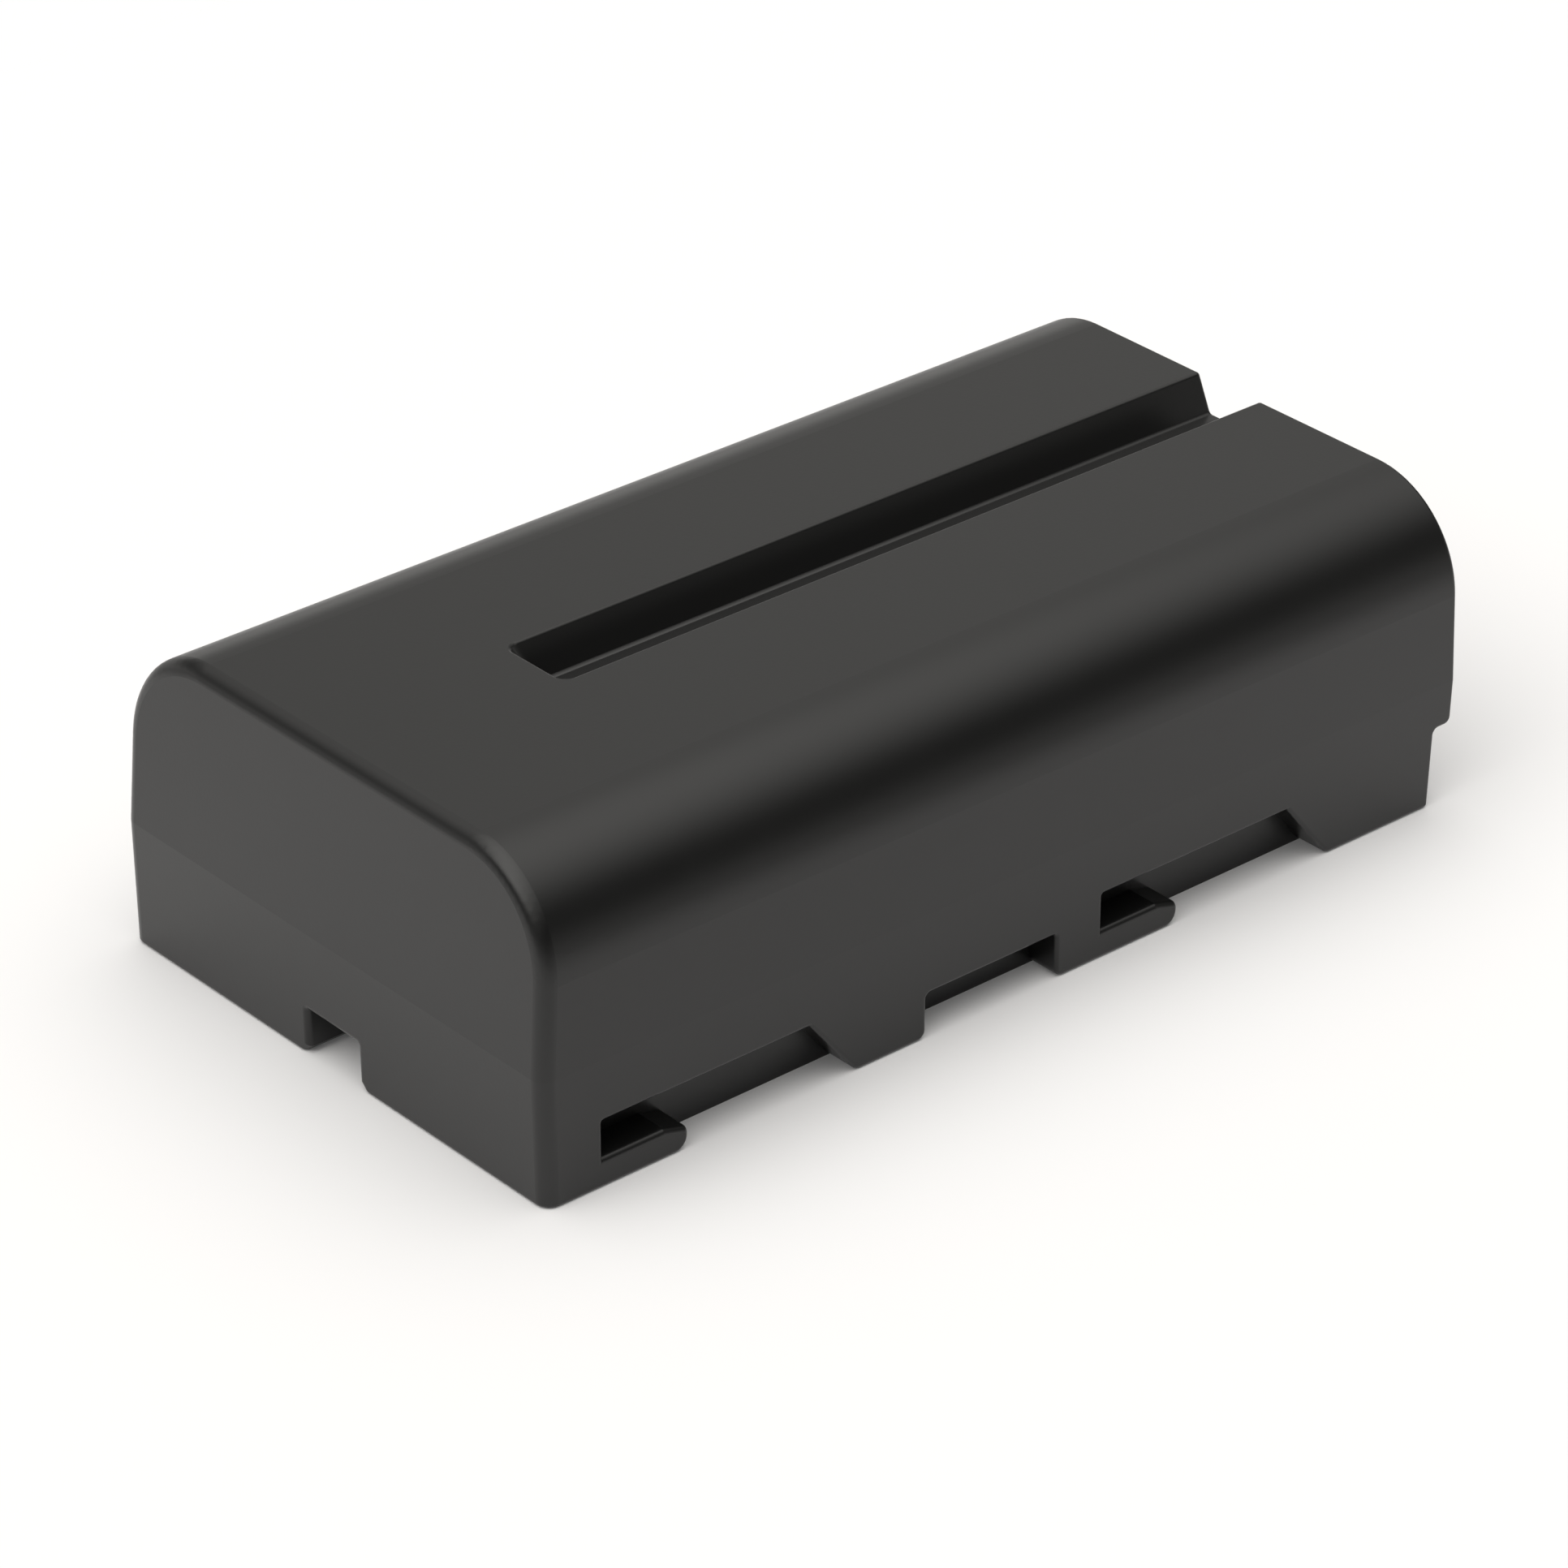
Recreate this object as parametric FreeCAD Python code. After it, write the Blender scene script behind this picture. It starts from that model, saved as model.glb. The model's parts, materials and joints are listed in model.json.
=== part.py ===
"""Rechargeable camera battery pack: two cylindrical cells in a two-part moulded case.

Millimetres. X is the width, Y the length and Z the height. The mounting face lies at
z = 0. The latch end is at -Y and the terminal end at +Y. The origin is the middle of
the mounting face.
"""
import FreeCAD, Part
import math
import os

os.makedirs("parts", exist_ok=True)

# Cells
cell_diameter = 18.0
cell_length = 65.0
cell_gap = 0.1
cell_edge_radius = 0.6
button_rise = 1.0
button_radius = 3.6
bead_distance = 3.4
bead_width = 1.3
bead_depth = 0.7
bead_radius = 0.6
button_chamfer = 0.3
sleeve_thickness = 0.1
sleeve_fold = 1.5
ring_thickness = 0.2
ring_hole_radius = 4.2

# Case walls and fits
side_wall = 0.9
side_clearance = 0.05
floor_thickness = 1.25
roof_thickness = 0.95
roof_clearance = 0.1
rear_wall = 0.8
rear_clearance = 0.02
front_wall = 0.9
fit_clearance = 0.05

# Case form
parting_height = 8.25
latch_end_lower_draft = 1.3
latch_end_upper_draft = 3.6
terminal_end_lower_draft = 2.2
terminal_end_upper_draft = 1.4
upper_side_draft = 1.4
long_edge_radius = 6.8
latch_end_radius = 0.95
outline_edge_radius = 0.25
tongue_height = 1.0
tongue_thickness = 0.4

# Finger groove in the cover
groove_start = 15.6
groove_offset = -0.5
groove_half_width = 2.65
groove_floor_half_width = 1.6
groove_depth = 2.42
groove_corner_radius = 0.8
groove_floor_radius = 0.25

# Terminal end
terminal_step = 1.4
terminal_step_height = 5.27
terminal_step_radius = 0.5
terminal_step_root_radius = 0.4
slot_pitch = 6.5
slot_width = 1.8
slot_height = 4.6
slot_rib = 1.0
polarity_mark_size = 2.2
polarity_mark_width = 0.5
polarity_mark_depth = 0.2
polarity_mark_distance = 3.4

# Latch notch
latch_offset = 0.12
latch_half_width = 2.33
latch_height = 3.0
latch_depth = 4.2
latch_wall = 0.8
latch_corner_radius = 0.1
latch_foot_chamfer = 0.5
latch_edge_radius = 0.4

# Hook rails along both sides
rail_depth = 2.35
rail_wall = 0.8
hook_pitch = 37.6
hook_root = 4.2
hook_height = 4.3
hook_opening_top = 15.1
hook_opening_foot = 18.6
hook_corner_radius = 0.15
shelf_height = 1.87
shelf_length = 6.15
shelf_tip_height = 1.4
shelf_lead_in = 1.7
shelf_tip_radius = 0.9
shelf_edge_radius = 0.4
middle_notch_start = 28.1
middle_notch_length = 10.1
middle_notch_height = 2.95
middle_notch_radius = 0.35
middle_notch_front_radius = 0.25
rail_foot_radius = 0.6
rail_front_foot_radius = 0.6

# Strips, sheets and adhesive
strip_thickness = 0.15
strip_width = 8.0
strip_end_margin = 3.2
strip_corner_radius = 2.0
weld_radius = 1.4
tab_width = 5.0
tab_flap = 1.3
tab_drop = 2.8
sheet_thickness = 0.15
board_sheet_thickness = 0.2
sheet_inset = 2.9
sheet_corner_radius = 1.5
board_corner_radius = 0.5
adhesive_thickness = 0.1
adhesive_width = 9.0
adhesive_end_margin = 6.0
lead_radius = 0.4
lead_clearance = 0.1

# Protection board and what it carries
board_thickness = 0.8
board_half_width = 14.6
board_top_clearance = 0.3
component_space = 1.9
package_lead_width = 0.3
package_lead_thickness = 0.15
package_lead_length = 0.7
package_side_inset = 0.12
protection_package = (2.9, 2.8, 1.1)
gauge_package = (5.0, 6.4, 1.0)
switch_package = (3.0, 6.4, 0.9)
protection_leads = 3
gauge_leads = 6
switch_leads = 4
resistor_size = (6.3, 3.1, 0.6)
fuse_size = (3.2, 1.6, 0.6)
capacitor_size = (1.6, 0.8, 0.8)
component_gap = 0.9
chip_cap_length = 0.4
chip_cap_proud = 0.05
thermistor_radius = 0.8
thermistor_length = 2.4
thermistor_taper = 0.4
thermistor_lead_radius = 0.2
foam_width = 12.0
foam_height = 5.0
foam_clearance = 0.1

# Terminal contacts
contact_thickness = 0.25
contact_pinch = 0.22
contact_foot_height = 0.9
contact_waist_height = 1.8
contact_tail_width = 1.0
contact_tail_rise = 1.5

# Sizes that follow
crimp_height = cell_length - button_rise
sleeved_radius = cell_diameter / 2 + sleeve_thickness
cell_x = sleeved_radius + cell_gap / 2
cell_z = floor_thickness + adhesive_thickness + sleeved_radius
case_half_width = cell_x + sleeved_radius + side_clearance + side_wall
case_height = cell_z + sleeved_radius + roof_clearance + roof_thickness
latch_lower_slope = math.tan(math.radians(latch_end_lower_draft))
latch_upper_slope = math.tan(math.radians(latch_end_upper_draft))
terminal_lower_slope = math.tan(math.radians(terminal_end_lower_draft))
terminal_upper_slope = math.tan(math.radians(terminal_end_upper_draft))
side_slope = math.tan(math.radians(upper_side_draft))
sheet_top = cell_z + sleeved_radius - sheet_inset
rear_draft_drop = max(latch_lower_slope * parting_height, latch_upper_slope * (sheet_top - parting_height))
stack_length = (
    sheet_thickness + strip_thickness + sleeve_thickness + cell_length
    + sleeve_thickness + strip_thickness + board_sheet_thickness + board_thickness
)
rear_space = rear_wall + rear_draft_drop + rear_clearance
case_length = rear_space + stack_length + component_space + front_wall
case_half_length = case_length / 2
stack_back = -case_half_length + rear_space
rear_sheet_front = stack_back + sheet_thickness
cell_back = rear_sheet_front + strip_thickness + sleeve_thickness
cell_front = cell_back + cell_length
tab_back = cell_front + sleeve_thickness
board_sheet_back = tab_back + strip_thickness
board_back = board_sheet_back + board_sheet_thickness
board_front = board_back + board_thickness
rail_x = case_half_width - rail_depth
latch_left = latch_offset - latch_half_width
latch_right = latch_offset + latch_half_width
ledge_top = terminal_step_height + front_wall
groove_floor_z = case_height - groove_depth
groove_housing_z = groove_floor_z - roof_thickness
board_top = groove_housing_z - board_top_clearance
board_middle_z = (ledge_top + board_top) / 2
slot_places = {"negative": -slot_pitch, "data": 0.0, "positive": slot_pitch}
overrun = 2.0
tolerance = 0.001
full_turn = 360


def rear_face(z):
    """Y of the latch-end face at height z."""
    if z < parting_height:
        return -case_half_length + latch_lower_slope * (parting_height - z)
    return -case_half_length + latch_upper_slope * (z - parting_height)


def front_face(z):
    """Y of the terminal-end face above the step at height z."""
    if z < parting_height:
        return case_half_length - terminal_lower_slope * (parting_height - z)
    return case_half_length - terminal_upper_slope * (z - parting_height)


def rounded_wire(corners, place):
    """Closed outline through corners given as (a, b, radius)."""
    edges = []
    arcs = []
    count = len(corners)
    for index in range(count):
        before = FreeCAD.Vector(*corners[index - 1][:2], 0)
        here = FreeCAD.Vector(*corners[index][:2], 0)
        after = FreeCAD.Vector(*corners[(index + 1) % count][:2], 0)
        radius = corners[index][2]
        to_before = (before - here).normalize()
        to_after = (after - here).normalize()
        half_angle = to_before.getAngle(to_after) / 2
        reach = radius / math.tan(half_angle)
        bisector = (to_before + to_after).normalize()
        middle = here + bisector * (radius / math.sin(half_angle) - radius)
        arcs.append((here + to_before * reach, middle, here + to_after * reach))
    for index in range(count):
        start, middle, end = (place(point.x, point.y) for point in arcs[index])
        if corners[index][2] > 0:
            edges.append(Part.Arc(start, middle, end).toShape())
        following = place(arcs[(index + 1) % count][0].x, arcs[(index + 1) % count][0].y)
        if end.distanceToPoint(following) > tolerance:
            edges.append(Part.LineSegment(end, following).toShape())
    return Part.Wire(edges)


def prism_along_x(corners, start, end):
    """Outline in (y, z) drawn out from x = start to x = end."""
    wire = rounded_wire(corners, lambda y, z: FreeCAD.Vector(start, y, z))
    return Part.Face(wire).extrude(FreeCAD.Vector(end - start, 0, 0))


def prism_along_y(corners, start, end):
    """Outline in (x, z) drawn out from y = start to y = end."""
    wire = rounded_wire(corners, lambda x, z: FreeCAD.Vector(x, start, z))
    return Part.Face(wire).extrude(FreeCAD.Vector(0, end - start, 0))


def prism_along_z(corners, start, end):
    """Outline in (x, y) drawn out from z = start to z = end."""
    wire = rounded_wire(corners, lambda x, y: FreeCAD.Vector(x, y, start))
    return Part.Face(wire).extrude(FreeCAD.Vector(0, 0, end - start))


def rectangle(a_low, a_high, b_low, b_high, radius=0.0):
    """Four corners of a rectangle with one radius."""
    return [(a_low, b_low, radius), (a_high, b_low, radius), (a_high, b_high, radius), (a_low, b_high, radius)]


def block(x_low, x_high, y_low, y_high, z_low, z_high):
    """Plain rectangular block between two corners."""
    return prism_along_z(rectangle(x_low, x_high, y_low, y_high), z_low, z_high)


def both_sides(shape):
    """The shape and its mirror image across the middle plane."""
    return [shape, shape.mirror(FreeCAD.Vector(0, 0, 0), FreeCAD.Vector(1, 0, 0))]


def edges_where(shape, test):
    """Edges whose every vertex passes the test."""
    return [edge for edge in shape.Edges if all(test(vertex.Point) for vertex in edge.Vertexes)]


def same(value, target):
    """True where two lengths agree."""
    return abs(value - target) < tolerance


def revolve_about_y(profile, x, y, z, turned):
    """Solid turned from (radius, distance) corners about a line along Y."""
    direction = -1 if turned else 1
    wire = rounded_wire(profile, lambda radius, distance: FreeCAD.Vector(radius, direction * distance, 0))
    solid = Part.Face(wire).revolve(FreeCAD.Vector(0, 0, 0), FreeCAD.Vector(0, 1, 0), full_turn)
    solid.translate(FreeCAD.Vector(x, y, z))
    return solid


def finish(shape):
    """One clean solid."""
    solid = shape.removeSplitter()
    if solid.ShapeType != "Solid":
        solid = solid.Solids[0]
    return solid


def upper_section(inset, roof, low):
    """Cross section of the upper case moved in by inset at the sides and roof at the top."""
    top = case_height - roof
    radius = long_edge_radius - inset
    foot = case_half_width - inset + side_slope * (parting_height - low)
    shoulder = case_half_width - inset - side_slope * (top - parting_height)
    return [(-foot, low, 0), (foot, low, 0), (shoulder, top, radius), (-shoulder, top, radius)]


def upper_ends(rear_inset, front_inset, low):
    """Side view of the upper case with its leaning ends, running past its top."""
    top = case_height + overrun
    rise = low - parting_height
    return [
        (-case_half_length + rear_inset + latch_upper_slope * rise, low, 0),
        (case_half_length - front_inset - terminal_upper_slope * rise, low, 0),
        (front_face(top) - front_inset, top, 0),
        (rear_face(top) + rear_inset, top, 0),
    ]


def upper_form(side, rear, front, roof, low):
    """Upper case form with each wall moved in by its own inset."""
    section = prism_along_y(upper_section(side, roof, low), -case_length, case_length)
    ends = prism_along_x(upper_ends(rear, front, low), -case_length, case_length)
    return section.common(ends)


def groove_form(grow, depth, rise):
    """Finger groove with leaning walls, grown outwards by grow for the wall under it."""
    lean = (groove_half_width - groove_floor_half_width) / groove_depth
    start = -case_half_length + groove_start - grow
    sections = []
    for height in (case_height - depth, case_height + rise):
        from_floor = height - groove_floor_z
        half = groove_floor_half_width + lean * from_floor + grow
        near = start - lean * (height - case_height)
        corner_radius = groove_corner_radius + grow
        left = groove_offset - half
        right = groove_offset + half
        corners = [
            (left, near, corner_radius),
            (right, near, corner_radius),
            (right, case_length, 0),
            (left, case_length, 0),
        ]
        sections.append(rounded_wire(corners, lambda x, y, z=height: FreeCAD.Vector(x, y, z)))
    return Part.makeLoft(sections, True, True)


def rim(inset, z_low, z_high):
    """Upright ring outline of the case at the parting line, filled in."""
    half_width = case_half_width - inset
    half_length = case_half_length - inset
    radius = max(latch_end_radius - inset, tolerance)
    return prism_along_z(rectangle(-half_width, half_width, -half_length, half_length, radius), z_low, z_high)


def cell_beds():
    """Round space that both halves of the case keep free for the two cells."""
    start = FreeCAD.Vector(-cell_x, stack_back, cell_z)
    bed = Part.makeCylinder(sleeved_radius + side_clearance, board_back - stack_back, start, FreeCAD.Vector(0, 1, 0))
    left, right = both_sides(bed)
    return left.fuse(right)


def cover_outline_edges(outer):
    """Edges round the terminal end of the cover and along the top of its groove."""
    chosen = []
    for edge in outer.Edges:
        points = [vertex.Point for vertex in edge.Vertexes]
        above_joint = max(point.z for point in points) > parting_height + tolerance
        on_end = all(same(point.y, front_face(point.z)) for point in points)
        on_roof = all(same(point.z, case_height) for point in points)
        by_groove = all(abs(point.x - groove_offset) < groove_half_width + tolerance for point in points)
        if (on_end and above_joint) or (on_roof and by_groove):
            chosen.append(edge)
    return chosen


def make_top_cover():
    """Cover: shelled form with rounded long edges, finger groove and locating tongue."""
    outer = upper_form(0, 0, 0, 0, parting_height)
    near_edges = edges_where(outer, lambda p: same(p.y, rear_face(p.z)))
    near_edges = [edge for edge in near_edges if edge.BoundBox.ZMax > parting_height + tolerance]
    outer = outer.makeFillet(latch_end_radius, near_edges)
    groove = groove_form(0, groove_depth, overrun)
    floor_edges = edges_where(groove, lambda p: same(p.z, groove_floor_z) and p.y < case_half_length)
    outer = outer.cut(groove.makeFillet(groove_floor_radius, floor_edges))
    outer = outer.makeFillet(outline_edge_radius, cover_outline_edges(outer))
    housing = groove_form(side_wall, groove_depth + roof_thickness, overrun)
    cavity = upper_form(side_wall, rear_wall, front_wall, roof_thickness, parting_height - overrun)
    shell = outer.cut(cavity.cut(housing).fuse(cell_beds()))
    tongue = rim(side_wall - tongue_thickness, parting_height - tongue_height, parting_height + fit_clearance)
    tongue = tongue.cut(rim(side_wall, parting_height - overrun, parting_height + overrun))
    return finish(shell.fuse(tongue))


def lower_side_view():
    """Side view of the tray with its leaning ends and the step at the terminal end."""
    step_front = front_face(terminal_step_height)
    return [
        (rear_face(0), 0, 0),
        (front_face(0) - terminal_step, 0, 0),
        (step_front - terminal_step, terminal_step_height, terminal_step_root_radius),
        (step_front, terminal_step_height, terminal_step_radius),
        (case_half_length, parting_height, 0),
        (-case_half_length, parting_height, 0),
    ]


def hook_notch(root):
    """Notch that a mounting hook enters, open below and at the side."""
    foot = root + hook_opening_foot
    return prism_along_x(
        [
            (root, -overrun, 0),
            (root, hook_height, hook_corner_radius),
            (root + hook_opening_top, hook_height, hook_corner_radius),
            (foot, 0, rail_foot_radius),
            (foot + overrun, 0, 0),
            (foot + overrun, -overrun, 0),
        ],
        rail_x,
        case_half_width + overrun,
    )


def middle_notch():
    """Relief notch between the two hook notches of a side."""
    start = -case_half_length + middle_notch_start
    end = start + middle_notch_length
    return prism_along_x(
        [
            (start - overrun, -overrun, 0),
            (start - overrun, 0, 0),
            (start, 0, rail_foot_radius),
            (start, middle_notch_height, middle_notch_radius),
            (end, middle_notch_height, middle_notch_front_radius),
            (end, 0, rail_front_foot_radius),
            (end + overrun, 0, 0),
            (end + overrun, -overrun, 0),
        ],
        rail_x,
        case_half_width + overrun,
    )


def hook_shelf(root, body):
    """Shelf below a hook notch that the mounting hook slides over, with a lead-in at its tip."""
    tip = root + shelf_length
    shelf = prism_along_x(
        [
            (root - overrun, 0, 0),
            (tip, 0, shelf_tip_radius),
            (tip, shelf_tip_height, 0),
            (tip - shelf_lead_in, shelf_height, 0),
            (root - overrun, shelf_height, 0),
        ],
        rail_x - overrun,
        case_half_width,
    )
    outer_top = edges_where(shelf, lambda p: same(p.x, case_half_width) and p.z > shelf_tip_height - tolerance)
    return shelf.makeFillet(shelf_edge_radius, outer_top).common(body)


def latch_notch():
    """Notch in the latch end that the release catch of the mount drops into."""
    low = -case_half_length - overrun
    high = rear_face(0) + latch_depth
    return prism_along_y(
        [
            (latch_left - overrun, -overrun, 0),
            (latch_left - overrun, 0, 0),
            (latch_left - latch_foot_chamfer, 0, 0),
            (latch_left, latch_foot_chamfer, 0),
            (latch_left, latch_height, latch_corner_radius),
            (latch_right, latch_height, latch_corner_radius),
            (latch_right, latch_foot_chamfer, 0),
            (latch_right + latch_foot_chamfer, 0, 0),
            (latch_right + overrun, 0, 0),
            (latch_right + overrun, -overrun, 0),
        ],
        low,
        high,
    )


def lower_cavity():
    """Space inside the tray: a box over the hook rails with two round beds for the cells."""
    low_half = rail_x - rail_wall
    shelf = hook_height + rail_wall
    inner_half = case_half_width - side_wall
    top = parting_height + overrun
    rear = -case_half_length + rear_wall
    section = prism_along_y(
        [
            (-low_half, floor_thickness, 0),
            (low_half, floor_thickness, 0),
            (low_half, shelf, 0),
            (inner_half, shelf, 0),
            (inner_half, top, 0),
            (-inner_half, top, 0),
            (-inner_half, shelf, 0),
            (-low_half, shelf, 0),
        ],
        -case_length,
        case_length,
    )
    ends = prism_along_x(
        [
            (rear_face(0) + rear_wall, 0, 0),
            (front_face(0) - terminal_step - front_wall, 0, 0),
            (front_face(terminal_step_height) - terminal_step - front_wall, ledge_top, 0),
            (front_face(terminal_step_height) - front_wall, ledge_top, 0),
            (case_half_length - front_wall, parting_height, 0),
            (case_half_length - front_wall, top, 0),
            (rear, top, 0),
            (rear, parting_height, 0),
        ],
        -case_half_width,
        case_half_width,
    )
    cavity = section.common(ends)
    latch_housing = block(
        latch_left - latch_wall, latch_right + latch_wall,
        -case_length, rear_face(0) + latch_depth + latch_wall,
        0, latch_height + latch_wall,
    )
    half_block = slot_pitch + slot_width / 2 + slot_rib
    terminal_block = block(-half_block, half_block, board_back, case_length, 0, ledge_top)
    cavity = cavity.cut(latch_housing).cut(terminal_block)
    return cavity.fuse(cell_beds().common(ends))


def polarity_mark(x, plus):
    """Shallow minus or plus recess in the mounting face beside a terminal slot."""
    y = front_face(0) - terminal_step - polarity_mark_distance - polarity_mark_size / 2
    half = polarity_mark_size / 2
    stroke = polarity_mark_width / 2
    mark = block(x - half, x + half, y - stroke, y + stroke, -overrun, polarity_mark_depth)
    if plus:
        mark = mark.fuse(block(x - stroke, x + stroke, y - half, y + half, -overrun, polarity_mark_depth))
    return mark


def terminal_slots():
    """Slots open to the end and below, each with a way up for the contact's tail."""
    slots = []
    for x in slot_places.values():
        slot = block(x - slot_width / 2, x + slot_width / 2, board_back, case_length, -overrun, slot_height)
        tail = block(
            x - contact_tail_width / 2 - fit_clearance, x + contact_tail_width / 2 + fit_clearance,
            board_front - fit_clearance, board_front + contact_thickness + fit_clearance,
            slot_height - tolerance, ledge_top + overrun,
        )
        slots.append(slot.fuse(tail))
    return slots


def latch_edges(tray):
    """Edges of the latch notch in the face of the latch end."""
    reach = latch_half_width + latch_foot_chamfer + tolerance
    return edges_where(tray, lambda p: same(p.y, rear_face(p.z)) and abs(p.x - latch_offset) < reach)


def outline_edges(tray):
    """Sharp edges round the side faces, the terminal end and the mounting face of the tray."""
    chosen = []
    for edge in tray.Edges:
        points = [vertex.Point for vertex in edge.Vertexes]
        low = min(point.z for point in points)
        high = max(point.z for point in points)
        on_side = all(same(abs(point.x), case_half_width) for point in points)
        on_foot = high < tolerance and all(abs(point.x) > rail_x + tolerance for point in points)
        on_latch_face = all(same(point.y, rear_face(point.z)) for point in points)
        latch_corner = same(high, parting_height) and max(point.y for point in points) < 0
        shelf_round = tolerance < low and high < shelf_height - shelf_edge_radius + tolerance
        on_latch_foot = high < tolerance and on_latch_face
        on_side_outline = on_side and low < parting_height - tolerance and not (latch_corner or shelf_round)
        if on_foot or on_latch_foot or on_side_outline:
            chosen.append(edge)
    return chosen


def make_base_tray():
    """Tray: floor, hook rails, latch notch, terminal slots and the rebate for the cover."""
    body = prism_along_x(lower_side_view(), -case_half_width, case_half_width)
    near_corners = edges_where(body, lambda p: same(p.y, rear_face(p.z)))
    near_corners = [edge for edge in near_corners if edge.BoundBox.XLength < tolerance]
    body = body.makeFillet(latch_end_radius, near_corners)
    roots = [-case_half_length + hook_root, -case_half_length + hook_root + hook_pitch]
    cuts = [middle_notch()] + [hook_notch(root) for root in roots]
    shelves = [hook_shelf(root, body) for root in roots]
    tray = body.cut(latch_notch())
    for cut in cuts:
        for sided in both_sides(cut):
            tray = tray.cut(sided)
    for shelf in shelves:
        for sided in both_sides(shelf):
            tray = tray.fuse(sided)
    tray = finish(tray)
    tray = tray.makeFillet(latch_edge_radius, latch_edges(tray))
    tray = tray.makeFillet(outline_edge_radius, outline_edges(tray))
    tray = tray.cut(lower_cavity())
    for slot in terminal_slots():
        tray = tray.cut(slot)
    tray = tray.cut(polarity_mark(-slot_pitch, False))
    tray = tray.cut(polarity_mark(slot_pitch, True))
    rebate_low = parting_height - tongue_height - fit_clearance
    rebate = rim(side_wall - tongue_thickness - fit_clearance, rebate_low, parting_height + overrun)
    rebate = rebate.cut(rim(side_wall + fit_clearance, rebate_low - overrun, case_height))
    return finish(tray.cut(rebate))


def make_cell(x, turned):
    """Steel can with its rolled bead, crimped shoulder and raised positive button."""
    radius = cell_diameter / 2
    bead_low = cell_length - bead_distance - bead_width
    profile = [
        (0, 0, 0),
        (radius, 0, cell_edge_radius),
        (radius, bead_low, 0),
        (radius - bead_depth, bead_low + bead_width / 2, bead_radius),
        (radius, bead_low + bead_width, 0),
        (radius, crimp_height, cell_edge_radius),
        (button_radius, crimp_height, 0),
        (button_radius, cell_length - button_chamfer, 0),
        (button_radius - button_chamfer, cell_length, 0),
        (0, cell_length, 0),
    ]
    return revolve_about_y(profile, x, cell_front if turned else cell_back, cell_z, turned)


def make_sleeve(x, turned):
    """Shrink sleeve round the can, folded in over both ends."""
    radius = cell_diameter / 2
    top = crimp_height + ring_thickness
    fold = radius - sleeve_fold
    profile = [
        (fold, -sleeve_thickness, 0),
        (sleeved_radius, -sleeve_thickness, 0),
        (sleeved_radius, top + sleeve_thickness, 0),
        (fold, top + sleeve_thickness, 0),
        (fold, top, 0),
        (radius, top, 0),
        (radius, 0, 0),
        (fold, 0, 0),
    ]
    return revolve_about_y(profile, x, cell_front if turned else cell_back, cell_z, turned)


def make_ring(x, turned):
    """Paper ring that insulates the crimped shoulder round the positive button."""
    outer = cell_diameter / 2
    profile = [
        (ring_hole_radius, crimp_height, 0),
        (outer, crimp_height, 0),
        (outer, crimp_height + ring_thickness, 0),
        (ring_hole_radius, crimp_height + ring_thickness, 0),
    ]
    return revolve_about_y(profile, x, cell_front if turned else cell_back, cell_z, turned)


def make_adhesive(x):
    """Adhesive strip between a cell and the floor of the tray."""
    half = adhesive_width / 2
    return block(
        x - half, x + half,
        cell_back + adhesive_end_margin, cell_front - adhesive_end_margin,
        floor_thickness, floor_thickness + adhesive_thickness,
    )


def weld_dimple(x, start, length):
    """Pressed dimple where a strip is welded to a cell."""
    return Part.makeCylinder(weld_radius, length, FreeCAD.Vector(x, start, cell_z), FreeCAD.Vector(0, 1, 0))


def make_series_link():
    """Nickel strip that joins the two cells at the latch end."""
    half_length = cell_x + strip_end_margin
    outline = rectangle(
        -half_length, half_length, cell_z - strip_width / 2, cell_z + strip_width / 2, strip_corner_radius
    )
    link = prism_along_y(outline, rear_sheet_front, rear_sheet_front + strip_thickness)
    for x in (-cell_x, cell_x):
        link = link.fuse(weld_dimple(x, rear_sheet_front + strip_thickness, sleeve_thickness))
    return finish(link)


def make_tab(x):
    """Nickel tab from a cell end up and over the top edge of the board."""
    fold_top = board_top + strip_thickness
    front = board_front + strip_thickness
    bend = strip_thickness / 2
    tab = prism_along_x(
        [
            (tab_back, cell_z - tab_drop, 0),
            (board_sheet_back, cell_z - tab_drop, 0),
            (board_sheet_back, board_top, 0),
            (board_front, board_top, 0),
            (board_front, board_top - tab_flap, 0),
            (front, board_top - tab_flap, 0),
            (front, fold_top, bend),
            (tab_back, fold_top, bend),
        ],
        x - tab_width / 2,
        x + tab_width / 2,
    )
    return finish(tab.fuse(weld_dimple(x, cell_front, sleeve_thickness)))


def lead_height():
    """Height at which the mid-point lead lies in the valley between the cells."""
    reach = sleeved_radius + lead_radius + lead_clearance
    return cell_z - math.sqrt(reach ** 2 - cell_x ** 2)


def make_midpoint_lead():
    """Insulated lead from the series link to the board, along the valley."""
    start = rear_sheet_front + strip_thickness
    return Part.makeCylinder(
        lead_radius, board_back - start, FreeCAD.Vector(0, start, lead_height()), FreeCAD.Vector(0, 1, 0)
    )


def thermistor_height():
    """Height at which the thermistor bead rests in the upper valley."""
    reach = sleeved_radius + thermistor_radius + fit_clearance
    return cell_z + math.sqrt(reach ** 2 - cell_x ** 2)


def make_thermistor():
    """Temperature sensor bead between the cells, with its lead to the board."""
    bead_start = tab_back - thermistor_length
    bead = Part.makeCylinder(
        thermistor_radius, thermistor_length,
        FreeCAD.Vector(0, bead_start, thermistor_height()), FreeCAD.Vector(0, 1, 0),
    )
    bead = bead.makeChamfer(thermistor_taper, [edge for edge in bead.Edges if edge.Closed])
    lead = Part.makeCylinder(
        thermistor_lead_radius, board_back - bead_start - thermistor_length / 2,
        FreeCAD.Vector(0, bead_start + thermistor_length / 2, thermistor_height()), FreeCAD.Vector(0, 1, 0),
    )
    return finish(bead.fuse(lead))


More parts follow.
